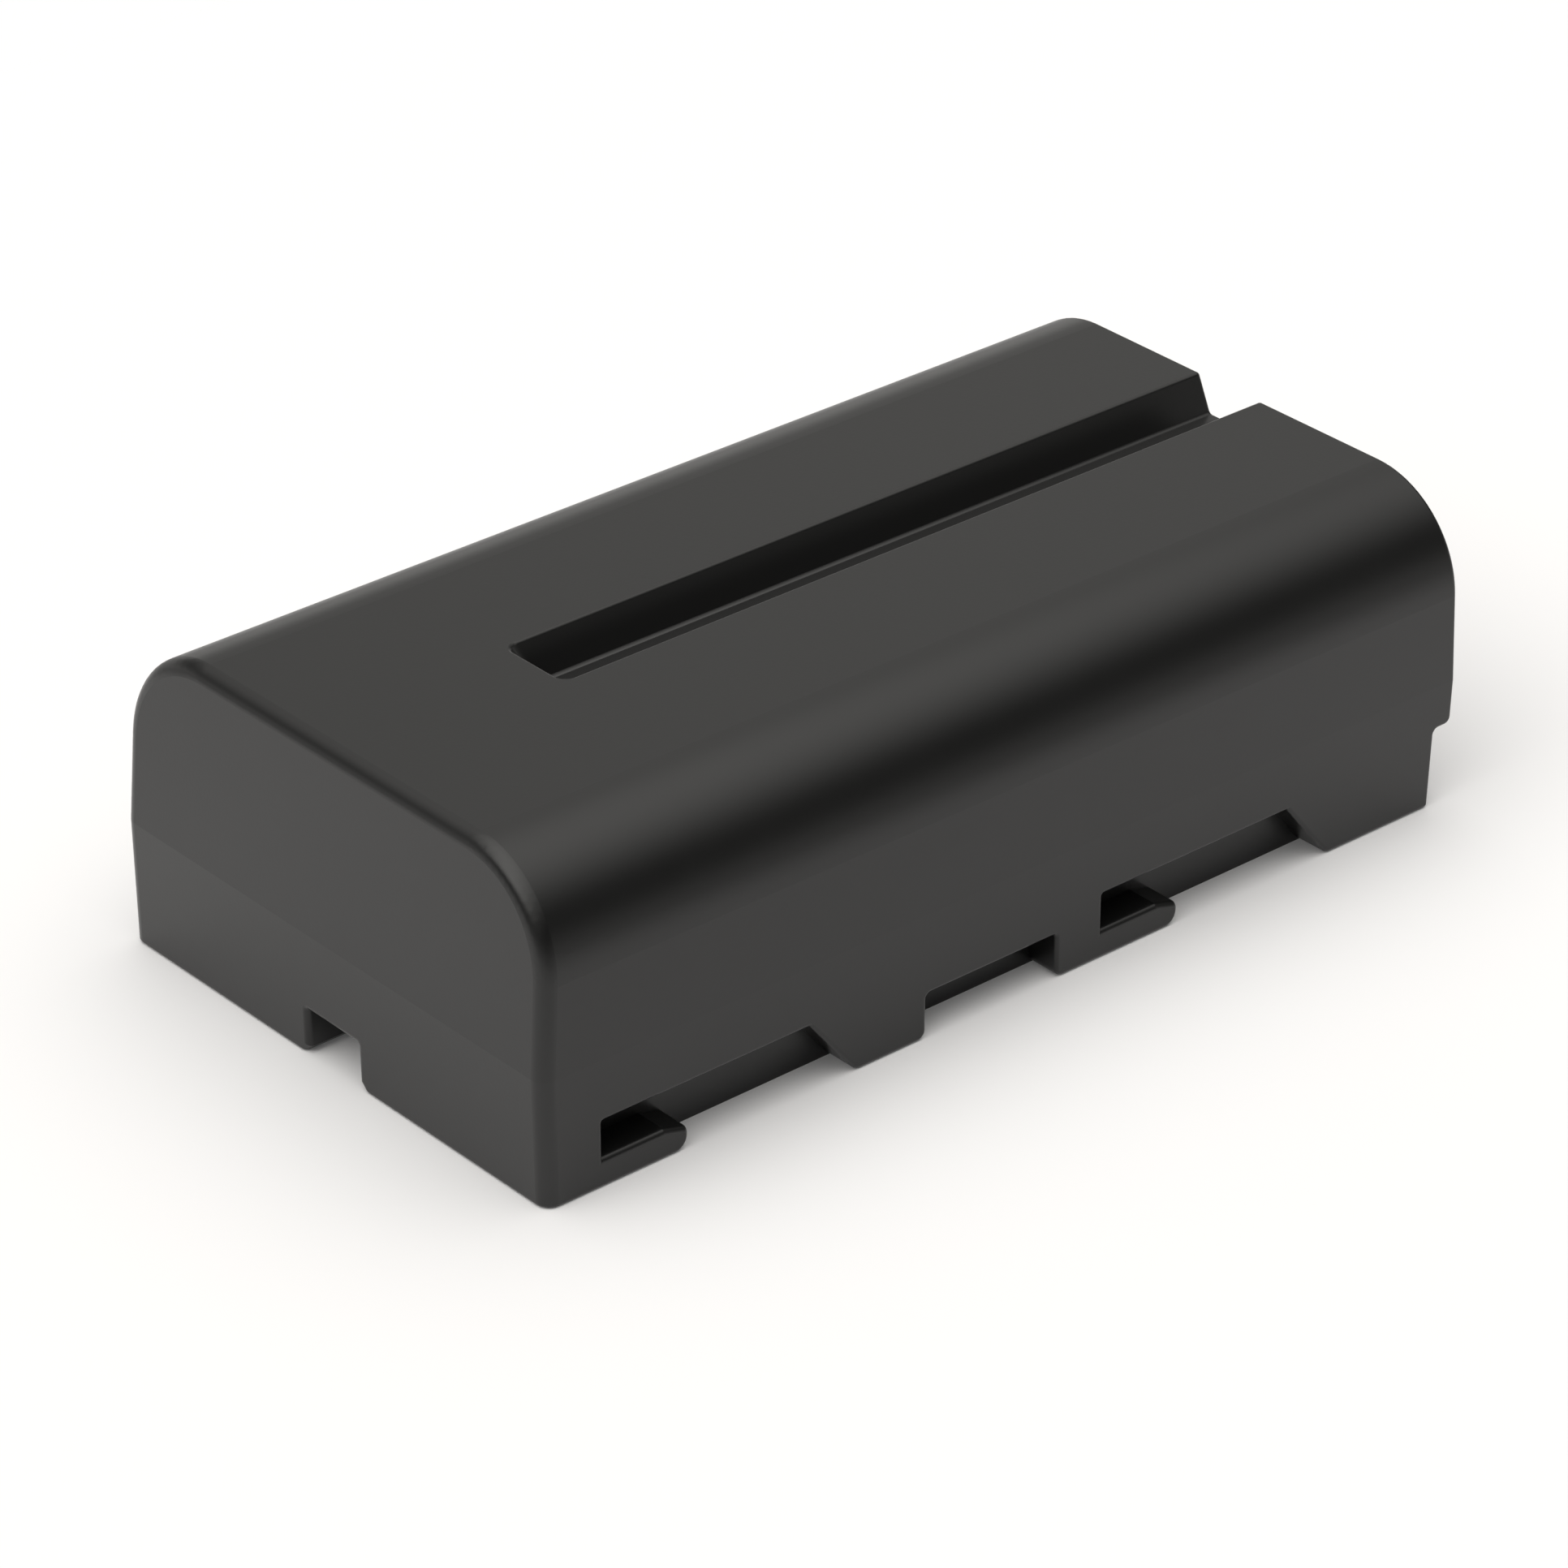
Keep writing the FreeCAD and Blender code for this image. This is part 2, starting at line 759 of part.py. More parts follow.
def make_rear_sheet():
    """Insulating sheet between the series link and the end wall."""
    half = cell_x + sleeved_radius - sheet_inset
    low = cell_z - sleeved_radius + sheet_inset
    outline = rectangle(-half, half, low, sheet_top, sheet_corner_radius)
    return prism_along_y(outline, stack_back, rear_sheet_front)


def make_board_sheet():
    """Insulating sheet between the cell ends and the board."""
    outline = rectangle(-board_half_width, board_half_width, ledge_top, board_top, board_corner_radius)
    sheet = prism_along_y(outline, board_sheet_back, board_back)
    holes = [(lead_radius, lead_height()), (thermistor_lead_radius, thermistor_height())]
    for radius, height in holes:
        hole = Part.makeCylinder(
            radius + lead_clearance, board_back - board_sheet_back + 2 * overrun,
            FreeCAD.Vector(0, board_sheet_back - overrun, height), FreeCAD.Vector(0, 1, 0),
        )
        sheet = sheet.cut(hole)
    return finish(sheet)


def make_board():
    """Protection board standing on the terminal block."""
    outline = rectangle(-board_half_width, board_half_width, ledge_top, board_top, board_corner_radius)
    return prism_along_y(outline, board_back, board_front)


def make_package(x, z, size, lead_count):
    """Moulded package with leaning sides and a row of leads above and below."""
    width, height, depth = size
    body_height = height - 2 * package_lead_length
    lean = package_side_inset
    sections = []
    for inset, level in ((lean, 0), (0, depth / 2), (lean, depth)):
        half_x = width / 2 - inset
        half_z = body_height / 2 - inset
        corners = rectangle(x - half_x, x + half_x, z - half_z, z + half_z)
        sections.append(rounded_wire(corners, lambda a, b, y=board_front + level: FreeCAD.Vector(a, y, b)))
    package = Part.makeLoft(sections, True, True)
    for index in range(lead_count):
        lead_x = x + (index - (lead_count - 1) / 2) * width / lead_count
        low = lead_x - package_lead_width / 2
        for side in (-1, 1):
            heel = z + side * (body_height / 2 - lean)
            toe = z + side * height / 2
            lead = block(
                low, low + package_lead_width,
                board_front, board_front + package_lead_thickness,
                min(heel, toe), max(heel, toe),
            )
            package = package.fuse(lead)
    return finish(package)


def make_chip(x, z, size):
    """Chip part with metal caps a little proud of its body."""
    length, height, depth = size
    proud = chip_cap_proud
    chip = block(
        x - length / 2, x + length / 2,
        board_front, board_front + depth - proud,
        z - height / 2 + proud, z + height / 2 - proud,
    )
    for side in (-1, 1):
        cap_outer = x + side * length / 2
        cap_inner = cap_outer - side * chip_cap_length
        cap = block(
            min(cap_outer, cap_inner), max(cap_outer, cap_inner),
            board_front, board_front + depth,
            z - height / 2, z + height / 2,
        )
        chip = chip.fuse(cap)
    return finish(chip)


def make_board_components():
    """Parts on the board, in one row beside the charge gauge with equal gaps."""
    gauge_side = gauge_package[0] / 2 + component_gap
    protection_x = -gauge_side - protection_package[0] / 2
    resistor_x = protection_x - protection_package[0] / 2 - component_gap - resistor_size[0] / 2
    first_switch_x = gauge_side + switch_package[0] / 2
    second_switch_x = first_switch_x + switch_package[0] + component_gap
    fuse_x = second_switch_x + switch_package[0] / 2 + component_gap + fuse_size[0] / 2
    capacitor_z = board_middle_z - protection_package[1] / 2 - component_gap - capacitor_size[1] / 2
    return {
        "charge_gauge_chip": make_package(0, board_middle_z, gauge_package, gauge_leads),
        "protection_chip": make_package(protection_x, board_middle_z, protection_package, protection_leads),
        "switch_chip_inner": make_package(first_switch_x, board_middle_z, switch_package, switch_leads),
        "switch_chip_outer": make_package(second_switch_x, board_middle_z, switch_package, switch_leads),
        "sense_resistor": make_chip(resistor_x, board_middle_z, resistor_size),
        "chip_fuse": make_chip(fuse_x, board_middle_z, fuse_size),
        "chip_capacitor": make_chip(protection_x, capacitor_z, capacitor_size),
    }


def make_contact(x):
    """Folded contact: a bridge, two spring leaves that pinch a blade and a tail to the board."""
    half = slot_width / 2
    inner = half - contact_thickness
    bend = contact_thickness / 2
    pinch = contact_pinch
    back = board_back
    front = front_face(0) - terminal_step - contact_thickness
    waist = contact_waist_height
    leaves = prism_along_y(
        [
            (x - half, slot_height, bend),
            (x - half, waist + contact_foot_height, 0),
            (x - half + pinch, waist, 0),
            (x - half, contact_foot_height, 0),
            (x - half + contact_thickness, contact_foot_height, 0),
            (x - inner + pinch, waist, 0),
            (x - inner, waist + contact_foot_height, 0),
            (x - inner, slot_height - contact_thickness, 0),
            (x + inner, slot_height - contact_thickness, 0),
            (x + inner, waist + contact_foot_height, 0),
            (x + inner - pinch, waist, 0),
            (x + half - contact_thickness, contact_foot_height, 0),
            (x + half, contact_foot_height, 0),
            (x + half - pinch, waist, 0),
            (x + half, waist + contact_foot_height, 0),
            (x + half, slot_height, bend),
        ],
        back,
        front,
    )
    tail = block(
        x - contact_tail_width / 2, x + contact_tail_width / 2,
        board_front, board_front + contact_thickness,
        slot_height - contact_thickness, ledge_top + contact_tail_rise,
    )
    return finish(leaves.fuse(tail))


def make_foam_pad():
    """Foam pad that keeps the board from moving towards the end wall."""
    tallest = max(size[2] for size in (gauge_package, switch_package, protection_package))
    top = board_middle_z + foam_height / 2
    back = board_front + tallest + foam_clearance
    front = front_face(top) - front_wall - foam_clearance
    half = foam_width / 2
    return block(-half, half, back, front, board_middle_z - foam_height / 2, top)


def make_parts():
    """Every piece of the pack by its node name."""
    parts = {
        "base_tray": make_base_tray(),
        "top_cover": make_top_cover(),
        "series_link_strip": make_series_link(),
        "positive_tab": make_tab(-cell_x),
        "negative_tab": make_tab(cell_x),
        "midpoint_lead": make_midpoint_lead(),
        "rear_insulator_sheet": make_rear_sheet(),
        "board_insulator_sheet": make_board_sheet(),
        "protection_board": make_board(),
        "thermistor": make_thermistor(),
        "foam_pad": make_foam_pad(),
    }
    for name, x, turned in (("left", -cell_x, False), ("right", cell_x, True)):
        parts["cell_" + name] = make_cell(x, turned)
        parts["cell_sleeve_" + name] = make_sleeve(x, turned)
        parts["insulator_ring_" + name] = make_ring(x, turned)
        parts["adhesive_strip_" + name] = make_adhesive(x)
    for name, x in slot_places.items():
        parts["contact_" + name] = make_contact(x)
    parts.update(make_board_components())
    return parts


for node, shape in make_parts().items():
    shape.exportStep("parts/" + node + ".step")
    print(node, shape.isValid(), len(shape.Solids), round(shape.Volume, 3))
print("case", round(case_half_width * 2, 3), round(case_length, 3), round(case_height, 3))
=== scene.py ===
"""Looks, studio and camera for a two-cell camera battery pack."""
import json
import logging
import math
from dataclasses import dataclass, field
from enum import Enum

import bpy
from mathutils import Matrix, Vector

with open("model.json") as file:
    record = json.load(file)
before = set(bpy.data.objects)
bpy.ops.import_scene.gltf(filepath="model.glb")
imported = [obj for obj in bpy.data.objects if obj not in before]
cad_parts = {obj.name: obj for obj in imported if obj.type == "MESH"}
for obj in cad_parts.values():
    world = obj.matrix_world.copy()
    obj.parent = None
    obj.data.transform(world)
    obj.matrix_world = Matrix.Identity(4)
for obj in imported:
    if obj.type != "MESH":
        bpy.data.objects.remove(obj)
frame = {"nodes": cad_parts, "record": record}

log = logging.getLogger("battery_pack")

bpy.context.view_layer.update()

Colour = tuple[float, float, float]


class Axis(Enum):
    """Direction along which a surface was worked, or on which a wall stands."""

    X = (1.0, 0.0, 0.0)
    Y = (0.0, 1.0, 0.0)
    Z = (0.0, 0.0, 1.0)


def rgba(colour: Colour) -> tuple[float, float, float, float]:
    """Colour with full opacity.

    Args:
        colour: Linear red, green and blue.

    Returns:
        The colour and an alpha of one.
    """
    return (*colour, 1.0)


class GroupBuilder:
    """Helper that lays out one shader node group with named sockets."""

    def __init__(self, name: str) -> None:
        """Start an empty group.

        Args:
            name: Name of the node group.
        """
        self.tree = bpy.data.node_groups.new(name, "ShaderNodeTree")
        self.entry = self.tree.nodes.new("NodeGroupInput")
        self.exit = self.tree.nodes.new("NodeGroupOutput")

    def take(self, name: str, kind: str, value: object = None) -> None:
        """Add an input socket.

        Args:
            name: Name of the socket.
            kind: Socket class, such as NodeSocketFloat.
            value: Default value, where one is wanted.
        """
        socket = self.tree.interface.new_socket(name=name, in_out="INPUT", socket_type=kind)
        if value is not None:
            socket.default_value = value

    def give(self, name: str, kind: str) -> None:
        """Add an output socket.

        Args:
            name: Name of the socket.
            kind: Socket class, such as NodeSocketFloat.
        """
        self.tree.interface.new_socket(name=name, in_out="OUTPUT", socket_type=kind)

    def node(self, kind: str, **values: object) -> bpy.types.Node:
        """Add a node and set its properties.

        Args:
            kind: Node class.
            values: Properties of the node.

        Returns:
            The new node.
        """
        made = self.tree.nodes.new(kind)
        for key, value in values.items():
            setattr(made, key, value)
        return made

    def join(self, start: bpy.types.NodeSocket, end: bpy.types.NodeSocket) -> None:
        """Link two sockets."""
        self.tree.links.new(start, end)


class SurfaceGroups:
    """The shader node groups that several finishes share."""

    grain_rounding = 0.7
    cloud_detail = 3.0
    clouds_per_metre = 260.0
    mottle_detail = 4.0
    mottle_break_up = 0.6
    mottle_low = 0.3
    mottle_high = 0.7
    line_detail = 2.0
    fibre_stretches = ((1.0, 1.0, 0.2), (0.2, 1.0, 1.0))

    def __init__(self) -> None:
        """Build every group once."""
        self.grain = self._grain()
        self.mottle = self._mottle()
        self.brushing = self._brushing()
        self.fibres = self._fibres()

    def _grain(self) -> bpy.types.NodeTree:
        """Fine moulded grain: a height for bump and a small change of roughness.

        Returns:
            The node group.
        """
        group = GroupBuilder("moulded_grain")
        group.take("Place", "NodeSocketVector")
        group.take("Grains per metre", "NodeSocketFloat", 5000.0)
        group.take("Roughness", "NodeSocketFloat", 0.35)
        group.take("Roughness change", "NodeSocketFloat", 0.04)
        group.give("Height", "NodeSocketFloat")
        group.give("Roughness", "NodeSocketFloat")
        cells = group.node("ShaderNodeTexVoronoi", feature="SMOOTH_F1")
        cells.inputs["Smoothness"].default_value = self.grain_rounding
        clouds = group.node("ShaderNodeTexNoise")
        clouds.inputs["Detail"].default_value = self.cloud_detail
        clouds.inputs["Scale"].default_value = self.clouds_per_metre
        centred = group.node("ShaderNodeMath", operation="SUBTRACT")
        centred.inputs[1].default_value = 0.5
        change = group.node("ShaderNodeMath", operation="MULTIPLY")
        total = group.node("ShaderNodeMath", operation="ADD")
        group.join(group.entry.outputs["Place"], cells.inputs["Vector"])
        group.join(group.entry.outputs["Place"], clouds.inputs["Vector"])
        group.join(group.entry.outputs["Grains per metre"], cells.inputs["Scale"])
        group.join(cells.outputs["Distance"], group.exit.inputs["Height"])
        group.join(clouds.outputs["Fac"], centred.inputs[0])
        group.join(centred.outputs[0], change.inputs[0])
        group.join(group.entry.outputs["Roughness change"], change.inputs[1])
        group.join(change.outputs[0], total.inputs[0])
        group.join(group.entry.outputs["Roughness"], total.inputs[1])
        group.join(total.outputs[0], group.exit.inputs["Roughness"])
        return group.tree

    def _mottle(self) -> bpy.types.NodeTree:
        """Slow change between two colours.

        Returns:
            The node group.
        """
        group = GroupBuilder("colour_mottle")
        group.take("Place", "NodeSocketVector")
        group.take("Patches per metre", "NodeSocketFloat", 120.0)
        group.take("First", "NodeSocketColor", (0.5, 0.5, 0.5, 1.0))
        group.take("Second", "NodeSocketColor", (0.6, 0.6, 0.6, 1.0))
        group.give("Colour", "NodeSocketColor")
        clouds = group.node("ShaderNodeTexNoise")
        clouds.inputs["Detail"].default_value = self.mottle_detail
        clouds.inputs["Roughness"].default_value = self.mottle_break_up
        spread = group.node("ShaderNodeMapRange")
        spread.inputs["From Min"].default_value = self.mottle_low
        spread.inputs["From Max"].default_value = self.mottle_high
        blend = group.node("ShaderNodeMix", data_type="RGBA")
        group.join(group.entry.outputs["Place"], clouds.inputs["Vector"])
        group.join(group.entry.outputs["Patches per metre"], clouds.inputs["Scale"])
        group.join(clouds.outputs["Fac"], spread.inputs["Value"])
        group.join(spread.outputs["Result"], blend.inputs["Factor"])
        group.join(group.entry.outputs["First"], blend.inputs["A"])
        group.join(group.entry.outputs["Second"], blend.inputs["B"])
        group.join(blend.outputs["Result"], group.exit.inputs["Colour"])
        return group.tree

    def _brushing(self) -> bpy.types.NodeTree:
        """Long fine lines of a rolled or drawn metal.

        Returns:
            The node group.
        """
        group = GroupBuilder("drawn_lines")
        group.take("Place", "NodeSocketVector")
        group.take("Stretch", "NodeSocketVector", (1.0, 0.03, 1.0))
        group.take("Lines per metre", "NodeSocketFloat", 9000.0)
        group.give("Height", "NodeSocketFloat")
        stretched = group.node("ShaderNodeVectorMath", operation="MULTIPLY")
        lines = group.node("ShaderNodeTexNoise")
        lines.inputs["Detail"].default_value = self.line_detail
        group.join(group.entry.outputs["Place"], stretched.inputs[0])
        group.join(group.entry.outputs["Stretch"], stretched.inputs[1])
        group.join(stretched.outputs["Vector"], lines.inputs["Vector"])
        group.join(group.entry.outputs["Lines per metre"], lines.inputs["Scale"])
        group.join(lines.outputs["Fac"], group.exit.inputs["Height"])
        return group.tree

    def _fibres(self) -> bpy.types.NodeTree:
        """Short crossing fibres of pressed paper or glass cloth.

        Returns:
            The node group.
        """
        group = GroupBuilder("crossing_fibres")
        group.take("Place", "NodeSocketVector")
        group.take("Fibres per metre", "NodeSocketFloat", 2500.0)
        group.give("Height", "NodeSocketFloat")
        heights = []
        for stretch in self.fibre_stretches:
            stretched = group.node("ShaderNodeVectorMath", operation="MULTIPLY")
            stretched.inputs[1].default_value = stretch
            strands = group.node("ShaderNodeTexNoise")
            strands.inputs["Detail"].default_value = self.line_detail
            group.join(group.entry.outputs["Place"], stretched.inputs[0])
            group.join(stretched.outputs["Vector"], strands.inputs["Vector"])
            group.join(group.entry.outputs["Fibres per metre"], strands.inputs["Scale"])
            heights.append(strands.outputs["Fac"])
        higher = group.node("ShaderNodeMath", operation="MAXIMUM")
        group.join(heights[0], higher.inputs[0])
        group.join(heights[1], higher.inputs[1])
        group.join(higher.outputs[0], group.exit.inputs["Height"])
        return group.tree


class MaterialBuilder:
    """A new material with its Principled shader, object coordinates and output."""

    def __init__(self, name: str) -> None:
        """Start a material.

        Args:
            name: Name of the material.
        """
        self.material = bpy.data.materials.new(name)
        self.material.use_nodes = True
        self.tree = self.material.node_tree
        self.tree.nodes.clear()
        self.shader = self.tree.nodes.new("ShaderNodeBsdfPrincipled")
        self.output = self.tree.nodes.new("ShaderNodeOutputMaterial")
        self.place = self.tree.nodes.new("ShaderNodeTexCoord").outputs["Object"]
        self.join(self.shader.outputs["BSDF"], self.output.inputs["Surface"])

    def join(self, start: bpy.types.NodeSocket, end: bpy.types.NodeSocket) -> None:
        """Link two sockets."""
        self.tree.links.new(start, end)

    def fix(self, **values: float) -> None:
        """Set plain values on the shader's own sockets.

        Args:
            values: Socket names in lower case with underscores, and their values.
        """
        for key, value in values.items():
            socket = key.replace("_", " ").title().replace("Ior", "IOR")
            self.shader.inputs[socket].default_value = value

    def group(self, tree: bpy.types.NodeTree, **values: object) -> bpy.types.Node:
        """Place a shared group, fed with object coordinates.

        Args:
            tree: The node group.
            values: Input names in lower case with underscores, and their values.

        Returns:
            The group node.
        """
        node = self.tree.nodes.new("ShaderNodeGroup")
        node.node_tree = tree
        self.join(self.place, node.inputs["Place"])
        for key, value in values.items():
            node.inputs[key.replace("_", " ").capitalize()].default_value = value
        return node

    def mottle(self, groups: SurfaceGroups, first: Colour, second: Colour, patches: float) -> bpy.types.Node:
        """Place the slow mottle.

        Args:
            groups: The shared node groups.
            first: One colour.
            second: The other colour.
            patches: Patches per metre.

        Returns:
            The group node.
        """
        return self.group(groups.mottle, first=rgba(first), second=rgba(second), patches_per_metre=patches)

    def bump(self, height: bpy.types.NodeSocket, depth: float) -> None:
        """Feed a height to the shader's normal.

        Args:
            height: Socket with the height, from 0 to 1.
            depth: Depth of the relief in metres.
        """
        node = self.tree.nodes.new("ShaderNodeBump")
        node.inputs["Strength"].default_value = 1.0
        node.inputs["Distance"].default_value = depth
        self.join(height, node.inputs["Height"])
        self.join(node.outputs["Normal"], self.shader.inputs["Normal"])


@dataclass(frozen=True)
class MouldedPlastic:
    """Satin moulded plastic with a fine grain."""

    name: str
    colour: Colour
    second_colour: Colour
    roughness: float
    grain_depth: float = 0.0000012
    grains: float = 5200.0
    patches: float = 90.0
    ior: float = 1.5

    def make(self, groups: SurfaceGroups) -> bpy.types.Material:
        """Build the material.

        Args:
            groups: The shared node groups.

        Returns:
            The material.
        """
        build = MaterialBuilder(self.name)
        mottle = build.mottle(groups, self.colour, self.second_colour, self.patches)
        grain = build.group(groups.grain, roughness=self.roughness, grains_per_metre=self.grains)
        build.join(mottle.outputs["Colour"], build.shader.inputs["Base Color"])
        build.join(grain.outputs["Roughness"], build.shader.inputs["Roughness"])
        build.bump(grain.outputs["Height"], self.grain_depth)
        build.fix(ior=self.ior)
        return build.material


@dataclass(frozen=True)
class PlatedMetal:
    """Rolled or drawn metal with a plated skin."""

    name: str
    colour: Colour
    second_colour: Colour
    roughness: float
    worked_along: Axis
    line_depth: float = 0.0000015
    line_stretch: float = 0.97
    patches: float = 300.0

    def make(self, groups: SurfaceGroups) -> bpy.types.Material:
        """Build the material.

        Args:
            groups: The shared node groups.

        Returns:
            The material.
        """
        build = MaterialBuilder(self.name)
        along = Vector(self.worked_along.value)
        stretch = Vector((1.0, 1.0, 1.0)) - along * self.line_stretch
        mottle = build.mottle(groups, self.colour, self.second_colour, self.patches)
        lines = build.group(groups.brushing, stretch=tuple(stretch))
        build.join(mottle.outputs["Colour"], build.shader.inputs["Base Color"])
        build.bump(lines.outputs["Height"], self.line_depth)
        build.fix(metallic=1.0, roughness=self.roughness)
        return build.material


@dataclass(frozen=True)
class FibreSheet:
    """Pressed paper, fibre or foam with short fibres in its surface."""

    name: str
    colour: Colour
    second_colour: Colour
    roughness: float
    fibres: float = 2500.0
    fibre_depth: float = 0.00002
    patches: float = 700.0

    def make(self, groups: SurfaceGroups) -> bpy.types.Material:
        """Build the material.

        Args:
            groups: The shared node groups.

        Returns:
            The material.
        """
        build = MaterialBuilder(self.name)
        mottle = build.mottle(groups, self.colour, self.second_colour, self.patches)
        strands = build.group(groups.fibres, fibres_per_metre=self.fibres)
        build.join(mottle.outputs["Colour"], build.shader.inputs["Base Color"])
        build.bump(strands.outputs["Height"], self.fibre_depth)
        build.fix(roughness=self.roughness)
        return build.material


class PackFinishes:
    """Every finish of the pack, by material slot."""

    def __init__(self) -> None:
        """Describe and build the finishes."""
        groups = SurfaceGroups()
        case_grey = (0.0075, 0.0075, 0.0075)
        case_grey_pale = (0.0079, 0.0079, 0.0079)
        case_roughness = 0.3
        described = [
            MouldedPlastic("tray_plastic", case_grey, case_grey_pale, case_roughness),
            MouldedPlastic("cover_plastic", case_grey, case_grey_pale, case_roughness),
            PlatedMetal("cell_can", (0.6, 0.59, 0.57), (0.66, 0.65, 0.63), 0.3, Axis.Y),
            MouldedPlastic("cell_sleeve_film", (0.012, 0.028, 0.05), (0.015, 0.033, 0.057), 0.3),
            FibreSheet("ring_paper", (0.78, 0.76, 0.68), (0.7, 0.68, 0.6), 0.8),
            FibreSheet("adhesive_film", (0.72, 0.7, 0.58), (0.66, 0.63, 0.5), 0.6),
            PlatedMetal("nickel_strip", (0.62, 0.6, 0.56), (0.7, 0.68, 0.64), 0.28, Axis.X),
            MouldedPlastic("lead_insulation", (0.42, 0.02, 0.015), (0.48, 0.03, 0.02), 0.4),
            FibreSheet("insulating_sheet", (0.3, 0.36, 0.32), (0.26, 0.31, 0.28), 0.85),
            FibreSheet("board_laminate", (0.012, 0.1, 0.035), (0.016, 0.12, 0.045), 0.3),
            MouldedPlastic("sensor_resin", (0.04, 0.03, 0.02), (0.05, 0.035, 0.025), 0.2),
            FibreSheet("foam", (0.06, 0.06, 0.063), (0.08, 0.08, 0.083), 0.95, 4000.0, 0.00005),
            PlatedMetal("contact_plating", (0.85, 0.6, 0.2), (0.9, 0.66, 0.26), 0.22, Axis.Z),
            MouldedPlastic("chip_package", (0.014, 0.014, 0.015), (0.02, 0.02, 0.021), 0.5),
            MouldedPlastic("chip_body_ceramic", (0.1, 0.1, 0.1), (0.13, 0.13, 0.13), 0.35),
            MouldedPlastic("capacitor_ceramic", (0.42, 0.27, 0.15), (0.46, 0.31, 0.18), 0.35),
        ]
        self.made = {finish.name: finish.make(groups) for finish in described}

    def dress_nodes(self) -> None:
        """Give each CAD node the finish of its material slot."""
        for part in frame["record"]["subparts"]:
            node = frame["nodes"][part["node"]]
            material = self.made[part["material_slot"]]
            for index in range(max(1, len(node.material_slots))):
                if index < len(node.material_slots):
                    node.material_slots[index].material = material
                else:
                    node.data.materials.append(material)
            log.info("%s has the finish %s", part["node"], material.name)


class SkyBuilder:
    """Helper that lays out a world whose brightness follows the direction of view."""

    def __init__(self, tree: bpy.types.NodeTree) -> None:
        """Empty the tree and split the direction into its parts.

        Args:
            tree: Node tree of the world.
        """
        self.tree = tree
        tree.nodes.clear()
        place = tree.nodes.new("ShaderNodeTexCoord")
        parts = tree.nodes.new("ShaderNodeSeparateXYZ")
        tree.links.new(place.outputs["Generated"], parts.inputs[0])
        self.x = parts.outputs["X"]
        self.y = parts.outputs["Y"]
        self.z = parts.outputs["Z"]

    def math(self, operation: str, first: bpy.types.NodeSocket, second: object = None) -> bpy.types.NodeSocket:
        """Add one sum.

        Args:
            operation: Name of the operation.
            first: First value.
            second: Second value, a socket or a plain number.

        Returns:
            The result.
        """
        node = self.tree.nodes.new("ShaderNodeMath")
        node.operation = operation
        self.tree.links.new(first, node.inputs[0])
        if isinstance(second, bpy.types.NodeSocket):
            self.tree.links.new(second, node.inputs[1])
        elif second is not None:
            node.inputs[1].default_value = second
        return node.outputs[0]

    def square(self, value: bpy.types.NodeSocket, middle: float, spread: float) -> bpy.types.NodeSocket:
        """Squared distance of a value from a middle, in spreads.

        Args:
            value: The value.
            middle: Where the distance is nought.
            spread: Length of one unit of distance.

        Returns:
            The squared distance.
        """
        distance = self.math("DIVIDE", self.math("SUBTRACT", value, middle), spread)
        return self.math("MULTIPLY", distance, distance)

    def fade(self, value: bpy.types.NodeSocket, none: float, full: float) -> bpy.types.NodeSocket:
        """Smooth rise from nought to one.

        Args:
            value: The value that drives the rise.
            none: Value where the rise starts.
            full: Value where it has reached one.

        Returns:
            The risen share.
        """
        node = self.tree.nodes.new("ShaderNodeMapRange")
        node.interpolation_type = "SMOOTHSTEP"
        node.inputs["From Min"].default_value = none
        node.inputs["From Max"].default_value = full
        self.tree.links.new(value, node.inputs["Value"])
        return node.outputs["Result"]

    def total(self, values: list[bpy.types.NodeSocket]) -> bpy.types.NodeSocket:
        """Sum of several values.

        Args:
            values: The values, two or more.

        Returns:
            The sum.
        """
        result = values[0]
        for value in values[1:]:
            result = self.math("ADD", result, value)
        return result

    def light(self, level: bpy.types.NodeSocket, tint: Colour) -> None:
        """Light the scene with a level, and show plain white to the camera.

        Args:
            level: Brightness by direction.
            tint: Colour of the light.
        """
        nodes = self.tree.nodes
        links = self.tree.links
        output = nodes.new("ShaderNodeOutputWorld")
        dome = nodes.new("ShaderNodeBackground")
        dome.inputs["Color"].default_value = rgba(tint)
        white = nodes.new("ShaderNodeBackground")
        white.inputs["Color"].default_value = (1.0, 1.0, 1.0, 1.0)
        choose = nodes.new("ShaderNodeMixShader")
        path = nodes.new("ShaderNodeLightPath")
        links.new(level, dome.inputs["Strength"])
        links.new(path.outputs["Is Camera Ray"], choose.inputs["Fac"])
        links.new(dome.outputs[0], choose.inputs[1])
        links.new(white.outputs[0], choose.inputs[2])
        links.new(choose.outputs[0], output.inputs["Surface"])


@dataclass(frozen=True)
class SoftLight:
    """Broad soft light overhead, placed as it would show in a flat mirror at the pack."""

    across: float
    along: float
    level: float
    spread: float = 0.9

    def shine(
        self, sky: SkyBuilder, across: bpy.types.NodeSocket, along: bpy.types.NodeSocket
    ) -> bpy.types.NodeSocket:
        """Brightness of the light by direction.

        Args:
            sky: The world's builder.
            across: Direction along X over its height.
            along: Direction along Y over its height.

        Returns:
            The brightness.
        """
        distance = sky.math(
            "ADD", sky.square(across, self.across, self.spread), sky.square(along, self.along, self.spread)
        )
        return sky.math("MULTIPLY", sky.math("EXPONENT", sky.math("MULTIPLY", distance, -1.0)), self.level)


